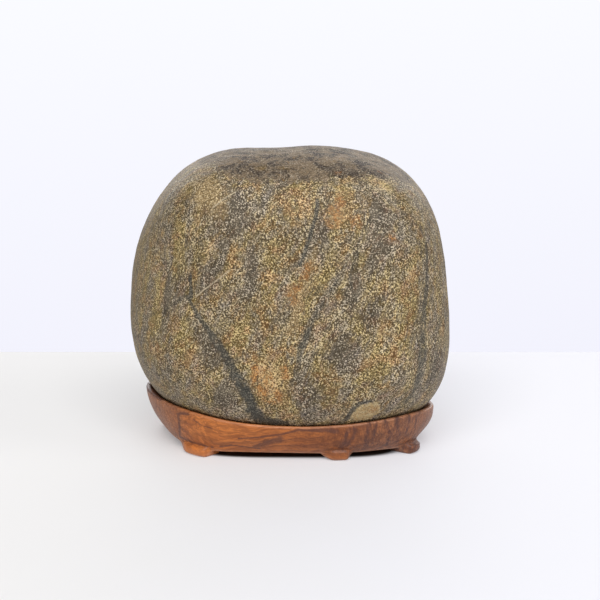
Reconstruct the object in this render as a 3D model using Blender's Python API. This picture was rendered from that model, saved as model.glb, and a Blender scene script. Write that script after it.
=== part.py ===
"""A water-worn scholar's rock, resting in the recess of its carved hardwood stand.

Metres, +Z up. The origin is on the ground under the middle of the rock. The front faces -Y, and
+X is to the right of someone who looks at the front.

A direction is a bearing and an elevation in degrees: bearing 0 is the front, 90 the right, 180
the back and -90 the left, and elevation 90 is straight up.
"""

import math

import bmesh
import bpy
from mathutils import Vector, noise

# --- The rock: a block whose faces and edges a river has worn smooth ------------------------

ROCK_MIDDLE_HEIGHT = 0.081
ROCK_DIVISIONS = 5

# A distance from the rock's axis that is outside it at every height.
BEYOND_ROCK = 0.15
HALVINGS = 30

# How tightly one worn face turns into the next: a higher number gives a crisper edge.
WORN_EDGE_SHARPNESS = 12.0

# Each worn face as (bearing, elevation, distance from the rock's middle).
WORN_FACES = (
    (-4, 2, 0.0660),  # front
    (2, 50, 0.0850),  # slope from the front up to the top
    (-48, 8, 0.0810),  # front left corner
    (52, 4, 0.0880),  # front right corner
    (-90, 2, 0.0890),  # left
    (90, 5, 0.0845),  # right
    (-90, 26, 0.0900),
    (90, 28, 0.1005),
    (-90, 50, 0.0880),
    (90, 50, 0.0890),
    (-90, 74, 0.0905),
    (90, 72, 0.0910),
    (0, 90, 0.0775),  # top
    (180, 0, 0.0680),  # back
    (178, 50, 0.0780),
    (-138, 8, 0.0850),
    (140, 8, 0.0870),
    (-90, -20, 0.0965),
    (90, -25, 0.1035),
    (0, -42, 0.0850),  # slopes that run in under the rock
    (-50, -40, 0.0895),
    (50, -40, 0.0980),
    (-90, -45, 0.1090),
    (90, -48, 0.1118),
    (-130, -40, 0.0905),
    (130, -40, 0.0920),
    (180, -42, 0.0850),
    (0, -90, 0.0717),  # underside
)

# Broad swells and dips as (bearing, elevation, half width in degrees, height).
SWELLS = (
    (-150, 77, 8.0, -0.0018),  # saddle between the two humps of the top
    (90, 80, 6.0, 0.0006),
    (-18, 66, 9.0, -0.0007),
    (28, 30, 11.0, 0.0006),
    (-30, -12, 13.0, -0.0006),
    (60, -6, 9.0, 0.0005),
    (-66, 34, 10.0, 0.0006),
)

# Low waves over the whole rock.
WAVE_HEIGHT = 0.0005
WAVES_PER_RADIUS = 2.6

# --- The stand: one carved block, feet and all ----------------------------------------------

# Its sides in plan at the lower edge, each as (bearing, distance from the rock's axis).
STAND_SIDES = (
    (-4, 0.0520),
    (21, 0.0603),
    (85, 0.0672),
    (138, 0.0620),
    (180, 0.0510),
    (-138, 0.0610),
    (-76, 0.0660),
    (-48, 0.0656),
)
SIDE_SHARPNESS = 20.0

# The rim, as (bearing, height above the ground, thickness).
RIM = (
    (-90, 0.0275, 0.0028),
    (-70, 0.0252, 0.0026),
    (-50, 0.0240, 0.0024),
    (-25, 0.0208, 0.0024),
    (5, 0.0192, 0.0024),
    (25, 0.0201, 0.0024),
    (50, 0.0224, 0.0026),
    (72, 0.0207, 0.0034),
    (95, 0.0185, 0.0034),
    (135, 0.0225, 0.0028),
    (180, 0.0200, 0.0026),
    (225, 0.0240, 0.0026),
)

# The six feet, where the sides meet and along the back, as (bearing, how far its face stands
# proud, half width of its flat sole, and the widths of the coves that curve up from the sole to
# its left and to its right).
FEET = (
    (-150, 0.0022, 0.0036, 0.0052, 0.0052),
    (-106, 0.0010, 0.0036, 0.0052, 0.0052),
    (-47.6, 0.0036, 0.0052, 0.0140, 0.0028),
    (25.6, 0.0035, 0.0022, 0.0066, 0.0050),
    (59.5, 0.0050, 0.0040, 0.0030, 0.0050),
    (130, 0.0022, 0.0036, 0.0052, 0.0052),
)

WIDEST_TURN = 5.0
SEAT_GAP = 0.0005
RIM_ROUNDING = 0.0011
LOWER_EDGE_HEIGHT = 0.0032
UNDERSIDE_HEIGHT = 0.0053
EDGE_ROUNDING = 0.0012
LEFT_WALL_FULLNESS = 1.95
RIGHT_WALL_FULLNESS = 2.8
FOOT_DEPTH = 0.0090

# A foot's face swells out like a lobe that is fullest at LOBE_MIDDLE, and a higher LOBE_POWER
# makes the lobe blunter. A higher COVE_POWER keeps a cove low for longer, and a higher
# PROUD_POWER makes the lobe fade sooner along the cove.
LOBE_MIDDLE = 0.0022
LOBE_HALF_HEIGHT = 0.0034
LOBE_POWER = 3.0
COVE_POWER = 2.0
PROUD_POWER = 3.0

# Where the sections have their points, as shares of the way from end to end.
COVE_STEPS = (0.4, 0.7, 1.0)
UNDERSIDE_STEP = 0.5
SOLE_STEP = 0.6
ROUNDED_STEP = 0.3
WALL_STEPS = (0.1, 0.21, 0.32, 0.5, 0.72, 0.9)
RIM_TOP_STEP = 0.45
RECESS_STEPS = (0.1, 0.21, 0.33, 0.45, 0.57, 0.7, 0.85)

# --- Finish ---------------------------------------------------------------------------------

STONE_COLOUR = (0.155, 0.125, 0.078, 1.0)
STONE_ROUGHNESS = 0.62
WOOD_COLOUR = (0.30, 0.105, 0.040, 1.0)
WOOD_ROUGHNESS = 0.38


def direction(bearing, elevation):
    turn = math.radians(bearing)
    rise = math.radians(elevation)
    return Vector(
        (math.sin(turn) * math.cos(rise), -math.cos(turn) * math.cos(rise), math.sin(rise))
    )


def mix(low, high, share):
    return low + (high - low) * share


def smooth_step(value):
    value = min(max(value, 0.0), 1.0)
    return value * value * (3.0 - 2.0 * value)


def worn_radius(towards, faces, sharpness):
    """Distance to a block of flat faces whose edges are worn round."""
    total = sum(max(normal.dot(towards) / distance, 0.0) ** sharpness for normal, distance in faces)
    return total ** (-1.0 / sharpness)


ROCK_FACES = [(direction(bearing, rise), distance) for bearing, rise, distance in WORN_FACES]
PLAN_SIDES = [(direction(bearing, 0), distance) for bearing, distance in STAND_SIDES]
SWELL_PLACES = [
    (direction(bearing, rise), math.radians(width), height)
    for bearing, rise, width, height in SWELLS
]


def rock_radius(towards):
    """Distance from the rock's middle to its surface."""
    radius = worn_radius(towards, ROCK_FACES, WORN_EDGE_SHARPNESS)
    for place, width, height in SWELL_PLACES:
        radius += height * math.exp(-0.5 * (place.angle(towards) / width) ** 2)
    return radius + WAVE_HEIGHT * noise.noise(towards * WAVES_PER_RADIUS)


def rock_reach(bearing, height):
    """Distance from the rock's axis to its surface at one height above the ground."""
    near, far = 0.0, BEYOND_ROCK
    for _ in range(HALVINGS):
        reach = (near + far) / 2
        point = direction(bearing, 0) * reach
        point.z = height - ROCK_MIDDLE_HEIGHT
        if rock_radius(point.normalized()) > point.length:
            near = reach
        else:
            far = reach
    return near


def rim_at(bearing):
    """The rim's (height, thickness), on smooth curves through RIM."""
    count = len(RIM)
    start = RIM[0][0]
    bearing = (bearing - start) % 360.0 + start
    index = max(i for i in range(count) if RIM[i][0] <= bearing)
    (b0, *v0), (b1, *v1), (b2, *v2), (b3, *v3) = (
        (RIM[i % count][0] + 360.0 * (i // count), *RIM[i % count][1:])
        for i in range(index - 1, index + 3)
    )
    share = (bearing - b1) / (b2 - b1)
    leaving = share**3 - 2 * share**2 + share
    arriving = share**3 - share**2
    return [
        mix(near, far, smooth_step(share))
        + leaving * (far - before) / (b2 - b0) * (b2 - b1)
        + arriving * (after - near) / (b3 - b1) * (b2 - b1)
        for before, near, far, after in zip(v0, v1, v2, v3)
    ]


def side_radius(bearing):
    """Distance from the rock's axis to the stand's lower edge."""
    return worn_radius(direction(bearing, 0), PLAN_SIDES, SIDE_SHARPNESS)


def foot_share(bearing):
    """(share, proud) at one bearing: share is 1 under the flat of a foot and 0 between feet."""
    for foot, proud, half_width, left_cove, right_cove in FEET:
        turn = (bearing - foot + 180.0) % 360.0 - 180.0
        cove = left_cove if turn < 0 else right_cove
        past_flat = math.radians(abs(turn)) * side_radius(foot) - half_width
        if past_flat < cove:
            share = 1.0 - (max(past_flat, 0.0) / cove) ** COVE_POWER
            return share, share**PROUD_POWER * proud
    return 0.0, 0.0


def foot_lobe(height):
    """How far a foot's face swells at one height, from 0 to 1."""
    away = abs(height - LOBE_MIDDLE) / LOBE_HALF_HEIGHT
    return max(1.0 - away**LOBE_POWER, 0.0)


def stand_bearings():
    """Bearings of the stand's sections: along each foot, and evenly between the feet."""
    marks = []
    for foot, _, half_width, left_cove, right_cove in sorted(FEET):
        left = [-half_width - left_cove * step for step in reversed(COVE_STEPS)]
        right = [half_width + right_cove * step for step in COVE_STEPS]
        for along in left + [-half_width, 0.0, half_width] + right:
            marks.append(foot + math.degrees(along / side_radius(foot)))
    bearings = []
    for mark, following in zip(marks, marks[1:] + [marks[0] + 360.0]):
        parts = math.ceil((following - mark) / WIDEST_TURN)
        bearings += [mix(mark, following, part / parts) for part in range(parts)]
    return bearings


def stand_section(bearing):
    """The stand's section at one bearing, as (radius, height) points.

    It runs from the middle of the underside out to the lower edge, up the outer wall, over the
    rim and down the recess to its middle.
    """
    side = side_radius(bearing)
    foot, foot_proud = foot_share(bearing)
    rightward = (1.0 + math.sin(math.radians(bearing))) / 2
    fullness = mix(LEFT_WALL_FULLNESS, RIGHT_WALL_FULLNESS, rightward)
    lower = LOWER_EDGE_HEIGHT * (1.0 - foot)
    underside = UNDERSIDE_HEIGHT * (1.0 - foot)
    rim, thickness = rim_at(bearing)
    rim_inside = rock_reach(bearing, rim) + SEAT_GAP
    rim_outside = rim_inside + thickness

    def wall(height):
        climb = max((height - LOWER_EDGE_HEIGHT) / (rim - LOWER_EDGE_HEIGHT), 0.0)
        flare = 1.0 - (1.0 - min(climb, 1.0)) ** fullness
        return mix(side, rim_outside, flare) + foot_proud * foot_lobe(height)

    foot_back = side - FOOT_DEPTH
    wall_foot = lower + EDGE_ROUNDING
    wall_head = rim - RIM_ROUNDING
    points = [
        (0.0, UNDERSIDE_HEIGHT),
        (foot_back * UNDERSIDE_STEP, UNDERSIDE_HEIGHT),
        (foot_back, UNDERSIDE_HEIGHT),
        (foot_back + EDGE_ROUNDING / 2, underside),
        (mix(foot_back, side, SOLE_STEP), (underside + lower) / 2),
        (wall(lower) - EDGE_ROUNDING, lower),
        (wall(lower) - EDGE_ROUNDING * ROUNDED_STEP, lower + EDGE_ROUNDING * ROUNDED_STEP),
        (wall(wall_foot), wall_foot),
    ]
    for step in WALL_STEPS:
        height = mix(wall_foot, wall_head, step)
        points.append((wall(height), height))
    points += [
        (rim_outside, wall_head),
        (mix(rim_inside, rim_outside, RIM_TOP_STEP), rim),
        (rim_inside, rim - RIM_ROUNDING / 2),
    ]
    start = math.degrees(math.atan2(points[-1][1] - ROCK_MIDDLE_HEIGHT, rim_inside))
    for step in RECESS_STEPS + (1.0,):
        towards = direction(bearing, mix(start, -90.0, step))
        seat = rock_radius(towards) + SEAT_GAP
        across = math.hypot(towards.x, towards.y)
        points.append((across * seat, towards.z * seat + ROCK_MIDDLE_HEIGHT))
    points[-1] = (0.0, points[-1][1])
    return points


def finish(name, colour, roughness):
    material = bpy.data.materials.new(name)
    material.use_nodes = True
    shader = material.node_tree.nodes["Principled BSDF"]
    shader.inputs["Base Color"].default_value = colour
    shader.inputs["Roughness"].default_value = roughness
    shader.inputs["Metallic"].default_value = 0.0
    return material


def add_object(name, shape, material, collection):
    mesh = bpy.data.meshes.new(name)
    shape.to_mesh(mesh)
    shape.free()
    mesh.materials.append(material)
    mesh.shade_smooth()
    piece = bpy.data.objects.new(name, mesh)
    collection.objects.link(piece)
    return piece


def make_rock(collection):
    """A ball whose points move out to the worn faces."""
    shape = bmesh.new()
    bmesh.ops.create_icosphere(shape, subdivisions=ROCK_DIVISIONS, radius=1.0)
    for point in shape.verts:
        towards = point.co.normalized()
        point.co = towards * rock_radius(towards)
    rock = add_object("stone", shape, finish("stone", STONE_COLOUR, STONE_ROUGHNESS), collection)
    rock.location.z = ROCK_MIDDLE_HEIGHT
    return rock


def make_stand(collection):
    """A ball whose rings move to the points of the stand's sections, from its foot to its recess."""
    bearings = stand_bearings()
    sections = [stand_section(bearing) for bearing in bearings]
    count = len(bearings)
    rings = len(sections[0]) - 1
    shape = bmesh.new()
    bmesh.ops.create_uvsphere(shape, u_segments=count, v_segments=rings, radius=1.0)
    for point in shape.verts:
        towards = point.co.normalized()
        ring = round((math.pi / 2 + math.asin(towards.z)) / math.pi * rings)
        segment = round(math.atan2(towards.y, towards.x) / math.tau * count) % count
        radius, height = sections[segment][ring]
        point.co = direction(bearings[segment], 0) * radius
        point.co.z = height
    return add_object("stand", shape, finish("wood", WOOD_COLOUR, WOOD_ROUGHNESS), collection)


def main():
    for leftover in list(bpy.data.objects):
        bpy.data.objects.remove(leftover, do_unlink=True)
    collection = bpy.data.collections.new("scholars_rock")
    bpy.context.scene.collection.children.link(collection)
    make_rock(collection)
    make_stand(collection)


main()
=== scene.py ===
"""The looks of a water-worn scholar's rock in its carved hardwood stand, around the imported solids.

Metres, +Z up. The front faces -Y. A place is a bearing and an elevation in degrees: bearing 0 is
the front, 90 the right, 180 the back and -90 the left, and elevation 90 is straight up. Places on
the rock are seen from its middle.
"""

import math

import bmesh
import bpy
import numpy as np
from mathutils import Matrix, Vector, noise


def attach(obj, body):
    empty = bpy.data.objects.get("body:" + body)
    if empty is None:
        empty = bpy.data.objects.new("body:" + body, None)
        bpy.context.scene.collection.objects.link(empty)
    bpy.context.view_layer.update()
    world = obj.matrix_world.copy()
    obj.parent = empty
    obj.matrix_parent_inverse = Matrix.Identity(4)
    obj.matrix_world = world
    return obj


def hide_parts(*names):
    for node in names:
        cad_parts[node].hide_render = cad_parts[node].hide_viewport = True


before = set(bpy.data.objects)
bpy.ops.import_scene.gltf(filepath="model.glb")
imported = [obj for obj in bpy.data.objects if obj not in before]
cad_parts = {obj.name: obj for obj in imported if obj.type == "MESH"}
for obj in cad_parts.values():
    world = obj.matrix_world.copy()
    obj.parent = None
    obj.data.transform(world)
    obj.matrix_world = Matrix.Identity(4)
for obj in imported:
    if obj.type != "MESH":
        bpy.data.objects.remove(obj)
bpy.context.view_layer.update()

# --- The rock's form, as in the solids ---

ROCK_MIDDLE = np.array((0.0, 0.0, 0.081))
WORN_EDGE_SHARPNESS = 12.0

# Each worn face as (bearing, elevation, distance from the rock's middle).
WORN_FACES = (
    (-4, 2, 0.066),  # front
    (2, 50, 0.085),  # slope from the front up to the top
    (-48, 8, 0.081),  # front left corner
    (52, 4, 0.088),  # front right corner
    (-90, 2, 0.089),  # left
    (90, 5, 0.0845),  # right
    (-90, 26, 0.09),
    (90, 28, 0.1005),
    (-90, 50, 0.088),
    (90, 50, 0.089),
    (-90, 74, 0.0905),
    (90, 72, 0.091),
    (0, 90, 0.0775),  # top
    (180, 0, 0.068),  # back
    (178, 50, 0.078),
    (-138, 8, 0.085),
    (140, 8, 0.087),
    (-90, -20, 0.0965),
    (90, -25, 0.1035),
    (0, -42, 0.085),  # slopes that run in under the rock
    (-50, -40, 0.0895),
    (50, -40, 0.098),
    (-90, -45, 0.109),
    (90, -48, 0.1118),
    (-130, -40, 0.0905),
    (130, -40, 0.092),
    (180, -42, 0.085),
    (0, -90, 0.0717),  # underside
)

# Broad swells and dips as (bearing, elevation, half width in degrees, height).
SWELLS = (
    (-150, 77, 8.0, -0.0018),  # saddle between the two humps of the top
    (90, 80, 6.0, 0.0006),
    (-18, 66, 9.0, -0.0007),
    (28, 30, 11.0, 0.0006),
    (-30, -12, 13.0, -0.0006),
    (60, -6, 9.0, 0.0005),
    (-66, 34, 10.0, 0.0006),
)
WAVE_HEIGHT = 0.0005
WAVES_PER_RADIUS = 2.6

# --- The rock's skin ---

SKIN_CELLS = 127

# Lower waves than the solids have, as (distance between crests, height).
SKIN_WAVES = ((0.015, 0.00022), (0.007, 0.00013), (0.0034, 0.00006))

# Veins as (depth, half width at the start, half width at the end, places along it). The deeper, the
# darker.
VEIN_DEEPEST = 0.0003
VEIN_SHOULDER = 0.3
VEINS = (
    # the long one down the left of the front, which widens towards the stand
    (0.00018, 0.001, 0.0018, ((-42.5, 5), (-36.5, -4), (-33.3, -8.5), (-30, -13.5))),
    (0.00024, 0.0018, 0.0026, ((-30, -13.5), (-26.6, -19), (-23.7, -25))),
    (0.0003, 0.0026, 0.0036, ((-23.7, -25), (-20.4, -30), (-18.1, -35), (-17.4, -39),
                               (-14.5, -44))),
    (0.00026, 0.0036, 0.0014, ((-14.5, -44), (-7.7, -45.6), (-1.6, -46.4))),
    # the one that splits off it to the left
    (0.00008, 0.001, 0.0007, ((-43.5, 5), (-49, 1), (-54, -2))),
    # the right one
    (0.00012, 0.0008, 0.0014, ((20, 14), (12.8, 2.3), (8.6, -6))),
    (0.00022, 0.0014, 0.0016, ((8.6, -6), (6.5, -11.3), (4.4, -15))),
    (0.0001, 0.0014, 0.001, ((4.4, -15), (3.6, -21.7), (0.4, -29.4))),
    # the purple-brown one high in the middle
    (0.00021, 0.001, 0.0009, ((13.3, 43.3), (11.8, 37.4), (8.9, 31.3), (6.7, 26), (4.4, 20.8))),
    # the dashes on the left
    (0.00025, 0.0011, 0.001, ((-42, 13.5), (-41, 5))),
    (0.00008, 0.0009, 0.0007, ((-45, 27), (-44, 16))),
    # the long upright one on the right
    (0.00014, 0.0009, 0.0014, ((54, 27), (55.8, 22.5), (56.4, 17.5), (55.1, 9.3), (54, 6))),
    (0.00016, 0.0018, 0.0034, ((54, 6), (51.2, -4), (50.5, -10.5), (51.1, -17.3))),
    (0.00014, 0.0032, 0.002, ((51.1, -17.3), (50.7, -22.4), (48.6, -30), (46.3, -33.5))),
    # fine ones round the dark patch on the right
    (0.00007, 0.0008, 0.0007, ((27, 23), (24, 14), (26, 5), (33, -2))),
    (0.00007, 0.0008, 0.0007, ((38, 47), (45, 42), (52, 34))),
    # the dark edge of the tan oval by the stand
    (0.0002, 0.0009, 0.0012, ((33, -31), (29, -33), (27, -37), (26, -42))),
    # two on the back
    (0.00014, 0.001, 0.0018, ((160, 30), (172, 8), (176, -14), (170, -36))),
    (0.00012, 0.001, 0.001, ((-140, 20), (-152, 2), (-158, -20))),
)

# Pale straight lines, each between two places: a scratch, and the border of the upper tan patch.
PALE_LINES = (
    ((-39.2, 5.4), (-25.9, 17.4)),
    ((-34.9, 37.4), (-26.5, 44.7)),
)

# Their ends fade over this share of their length, and they are told apart from the rest of the
# skin as far as this.
LINE_FADE = 0.12
LINE_REACH = 0.004

# The edge of the rock's darker top, as (bearing, elevation), and how far in from it top counts 1.
TOP_EDGE = (
    (-120, 52), (-90, 54), (-60, 56), (-34, 51), (-24, 50), (-10, 52), (6, 51.5),
    (25, 52), (50, 47), (70, 42), (90, 42), (130, 50), (180, 50),
)
TOP_FADE = 0.01

# The share of a vein, patch or streak is 1 in its middle, 0 at its edge and below 0 outside, down
# to these.
FARTHEST_SHARE = -9.0
FARTHEST_VEIN = -2.0
FARTHEST_MARK = -1.0

# Patches of each colour as (bearing, elevation, half length, half width, lean to the right).
PATCHES = {
    "rust": (
        (20.1, 36.6, 0.0075, 0.0036, 4), (22.5, 41, 0.004, 0.003, 30),
        (27.6, 32.6, 0.005, 0.0028, 10), (7.5, 17.5, 0.006, 0.0026, 26),
        (3.5, 11.5, 0.005, 0.0022, 30), (0.2, 6.8, 0.0042, 0.0034, 40),
        (-15.4, -25.2, 0.007, 0.0022, -4), (-12.5, -31.5, 0.006, 0.0024, -40),
        (-9, -35.5, 0.005, 0.002, -70), (-2.7, -24.6, 0.005, 0.002, -10),
        (30.5, 54, 0.0024, 0.0034, 0), (53.6, 49.6, 0.0022, 0.0032, 0),
        (39.2, 25.2, 0.003, 0.0026, 0), (35.6, -35.0, 0.0034, 0.0028, 20),
        (-9.5, -27.5, 0.007, 0.003, -20), (-5.5, -33.5, 0.005, 0.003, 10),
        (-160, -10, 0.014, 0.005, 20), (110, 20, 0.012, 0.005, 10),
    ),
    "tan": (
        (-40, 42, 0.015, 0.01, -50), (-19.5, 58.4, 0.0034, 0.0046, 0),
        (-4.3, 59.8, 0.0022, 0.0036, 0), (8, 17, 0.015, 0.0026, 18), (2, -3, 0.011, 0.003, 14),
    ),
    "golden": (
        (24, 39, 0.01, 0.0066, 14), (-8, -29.5, 0.015, 0.01, -12),
    ),
    "warm": (
        (-9, 20, 0.026, 0.0045, 6), (-28, 15, 0.015, 0.0035, 26), (-23, -10, 0.015, 0.0055, 30),
        (7, 2, 0.033, 0.0045, 16), (14, -16, 0.016, 0.005, 10), (44, 2, 0.033, 0.005, 14),
        (34, -18, 0.018, 0.006, 38), (17, -30, 0.01, 0.006, 0),
        (-48, 22, 0.022, 0.005, -14), (-58, 0, 0.03, 0.0045, 0),
        (-46, -10, 0.014, 0.006, -20), (25, 15, 0.013, 0.0032, 28), (2, 44, 0.01, 0.006, 40),
        (-100, 10, 0.03, 0.006, 5), (-130, -5, 0.03, 0.008, 10),
        (165, 15, 0.03, 0.007, 15), (120, -5, 0.03, 0.006, 10),
    ),
    "cool": (
        (-25, 36, 0.013, 0.0075, 20), (-32, 14, 0.011, 0.006, 20), (-17, 20, 0.015, 0.003, 4),
        (33, 22, 0.01, 0.006, 30), (25, 10, 0.014, 0.0036, 8), (31, 0, 0.008, 0.005, 15),
        (-34, -14, 0.012, 0.0055, -30), (22, -14, 0.011, 0.007, 0),
        (10, -32, 0.008, 0.015, 0), (-52, 3, 0.016, 0.003, 0), (38, 33, 0.011, 0.0066, 10),
        (62, -22, 0.012, 0.007, 0), (-48, 6, 0.012, 0.004, 10), (14, 34, 0.014, 0.0035, 14),
        (-30, -33, 0.007, 0.006, -20), (150, 0, 0.028, 0.007, 10),
        (-115, 5, 0.03, 0.006, 5), (-175, -5, 0.03, 0.008, 12),
    ),
    # where pale crystals crowd
    "pale": (
        (22.3, -5.4, 0.0024, 0.002, 0), (-34, 24, 0.005, 0.003, 30), (46, 14, 0.006, 0.003, 10),
        (-7, -29, 0.011, 0.008, -12), (44, 42, 0.009, 0.007, 20),
    ),
    # a smooth tan pebble held in the rock by the stand
    "pebble": ((33, -36.8, 0.0084, 0.0062, 30),),
    # where the specks are worn smooth
    "smooth": (
        (-92, 0, 0.07, 0.045, 0), (180, 0, 0.05, 0.05, 0), (20.1, 36.6, 0.006, 0.0034, 4),
        (0.2, 6.8, 0.0042, 0.0034, 40),
    ),
}

# --- The stand's form, as in the solids ---

# Its sides in plan at the lower edge, each as (bearing, distance from the rock's axis).
STAND_SIDES = (
    (-4, 0.052), (21, 0.0603), (85, 0.0672), (138, 0.062), (180, 0.051), (-138, 0.061),
    (-76, 0.066), (-48, 0.0656),
)
SIDE_SHARPNESS = 20.0

# The rim, as (bearing, height above the ground, thickness).
RIM = (
    (-90, 0.0275, 0.0028), (-70, 0.0252, 0.0026), (-50, 0.024, 0.0024), (-25, 0.0208, 0.0024),
    (5, 0.0192, 0.0024), (25, 0.0201, 0.0024), (50, 0.0224, 0.0026), (72, 0.0207, 0.0034),
    (95, 0.0185, 0.0034), (135, 0.0225, 0.0028), (180, 0.02, 0.0026), (225, 0.024, 0.0026),
)

# The six feet, as (bearing, how far its face stands proud, half width of its flat sole, and the
# widths of the coves that curve up from the sole to its left and to its right).
FEET = (
    (-150, 0.0022, 0.0036, 0.0052, 0.0052),
    (-106, 0.001, 0.0036, 0.0052, 0.0052),
    (-47.6, 0.0036, 0.0052, 0.014, 0.0028),
    (25.6, 0.0035, 0.0022, 0.0066, 0.005),
    (59.5, 0.005, 0.004, 0.003, 0.005),
    (130, 0.0022, 0.0036, 0.0052, 0.0052),
)

SEAT_GAP = 0.0005
RIM_ROUNDING = 0.0011
LOWER_EDGE_HEIGHT = 0.0032
UNDERSIDE_HEIGHT = 0.0053
EDGE_ROUNDING = 0.0012
LEFT_WALL_FULLNESS = 1.95
RIGHT_WALL_FULLNESS = 2.8
FOOT_DEPTH = 0.009
LOBE_MIDDLE = 0.0022
LOBE_HALF_HEIGHT = 0.0034
LOBE_POWER = 3.0
COVE_POWER = 2.0
PROUD_POWER = 3.0

# The rock's surface is found by halving the way from its axis out to here, this many times.
SEAT_SEARCH_FAR = 0.15
SEAT_SEARCH_HALVINGS = 24

# --- The stand's carved surface ---

STAND_BEARINGS = 900
UNDERSIDE_RINGS = 8
FOOT_RINGS = 10
EDGE_RINGS = 6
WALL_RINGS = 30
RIM_RINGS = 12
RECESS_RINGS = 22

# Tool waves in the carving, as (distance between crests, height).
CARVING_WAVES = ((0.011, 0.00018), (0.0045, 0.00006))

# They fade out over this share of the wall at its foot and at its head.
CARVING_FADE = 1 / 5

# Painted highlights, pale bands where the rounded edges catch the light, lie this far above the
# lower edge and below the rim, and are this wide.
HIGHLIGHT_ABOVE_EDGE = 0.0006
HIGHLIGHT_BELOW_RIM = 0.0003
HIGHLIGHT_WIDTH = 0.0007

# The way that the block's grain runs in plan.
GRAIN_BEARING = 78

# The heart of the tree lies behind and below the block, and its rings are this wide.
HEART_BEHIND = -0.005
HEART_BELOW = 0.045
RING_WIDTH = 0.0042

# End grain shows from where the sides face this much along the grain, to where they face this much.
END_GRAIN_FROM = 0.62
END_GRAIN_TO = 0.86

# Dark streaks as (half width at the start, half width at the end, places along it). The first
# darkens the top of the rim along its left end, next to the rock; the rest lie in the wood. Each
# place is (bearing, height in millimetres). Lengths are those on a cylinder of this radius.
STREAK_RADIUS = 0.062
WOOD_STREAKS = (
    # darker along the top of the rim at its left end, next to the rock
    (0.0024, 0.0014, ((-112, 26.5), (-92, 27.5), (-80, 26.6), (-70, 25.6))),
    (0.004, 0.004, ((57, 3.4), (68, 3.2))),
    (0.0011, 0.0008, ((-57, 20.6), (-54.5, 21.8), (-50, 22.3))),
    (0.0012, 0.0009, ((-57, 20.6), (-56.5, 17), (-57.5, 13), (-60, 7))),
    (0.0008, 0.0005, ((-60, 7), (-55, 6.6), (-46.5, 6.4), (-39.5, 5.6))),
    (0.0005, 0.0004, ((-47.5, 20), (-44, 17.8), (-38, 16.6))),
    (0.0005, 0.0007, ((-26, 12.1), (-17, 13.3), (-5, 15.1), (4.5, 17.8), (14, 17.2))),
    (0.0009, 0.0012, ((11, 17.4), (17, 17.4), (22.5, 17))),
    (0.001, 0.0026, ((-19.5, 7.5), (-14.5, 9), (-10.5, 10.9), (-5.5, 12.2))),
    (0.0006, 0.0004, ((-36, 6.5), (-30, 7.7), (-23.5, 7.2), (-16, 6.3))),
    (0.0022, 0.0016, ((25.5, 7.2), (27, 9.4), (28, 11.2))),
    (0.001, 0.0012, ((27.5, 18), (26.5, 14), (26, 9.3))),
    (0.0009, 0.0009, ((29.8, 19), (30.2, 16.5), (29.5, 12.5))),
    (0.0011, 0.0008, ((36, 21), (35.5, 18.5), (35, 14.8))),
    (0.0008, 0.0014, ((35, 14.8), (35.5, 10.8), (36.5, 7))),
    (0.0006, 0.0006, ((39, 21), (38.2, 16.6), (38, 13.3), (38.5, 9))),
    (0.0007, 0.0008, ((42.5, 21.5), (43.5, 17), (45.5, 13.5), (45.5, 9.3), (46, 6.5))),
    (0.0013, 0.001, ((48, 22), (47.5, 18.8), (48.5, 14.7), (50, 10.6), (50, 7.5))),
    (0.001, 0.0008, ((54, 22), (53.5, 19.3), (53.5, 15.8), (53, 11))),
    (0.0009, 0.0007, ((62, 22), (59, 18.9), (58, 14.4))),
)

# How dark and figured the wood is, as (bearing, share): least on the left, most on the right.
FIGURE = (
    (-180, 0.35), (-80, 0.05), (-58, 0.0), (-25, 0.0), (-5, 0.2), (10, 0.38),
    (22, 0.66), (40, 1.0), (80, 1.0), (120, 0.6), (180, 0.35),
)

# --- The stone's material ---

# Where colours drift, as (size, reach).
STONE_DRIFTS = ((0.045, 0.008), (0.01, 0.0018))

# Patterns that lean, as (angles about X, Y and Z, stretch along each turned axis).
STONE_TURNS = {
    "streaks": ((0, 22, 0), (1.0, 1.0, 3.4)),
    "clouds": ((0, 22, 0), (1.0, 1.0, 1.8)),
    "ruddy": ((0, 24, 30), (1.0, 1.0, 2.2)),
    "dusky": ((20, 12, 70), (1.0, 1.0, 1.6)),
}

# Noise as (size, detail, roughness, distortion where there is any).
STONE_PATTERNS = {
    "streaks": (0.0072, 4.0, 0.76), "clouds": (0.011, 4.0, 0.7),
    "ruddy": (0.006, 4.0, 0.7), "dusky": (0.0052, 4.0, 0.7),
    "patch_edge": (0.004, 4.0, 0.72), "vein_gaps": (0.006, 3.0, 0.6),
    "sunny": (0.008, 3.0, 0.65), "pale_pebble": (0.0022, 3.0, 0.6),
    "rusty": (0.003, 4.0, 0.7, 0.8), "mottle": (0.011, 5.0, 0.8, 0.5),
    "ochre": (0.006, 3.0, 0.7, 0.6), "crack": (0.015, 4.0, 0.62, 0.6),
    "crack_gaps": (0.009, 3.0, 0.7), "crystals": (0.00074, 0.0, 0.5, 0.6),
    "crowded": (0.005, 3.0, 0.65), "line_wobble": (0.003, 2.0, 0.5),
    "grains": (0.0006, 1.0, 0.6), "grit": (0.0013, 2.0, 0.7, 0.5),
}

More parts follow.
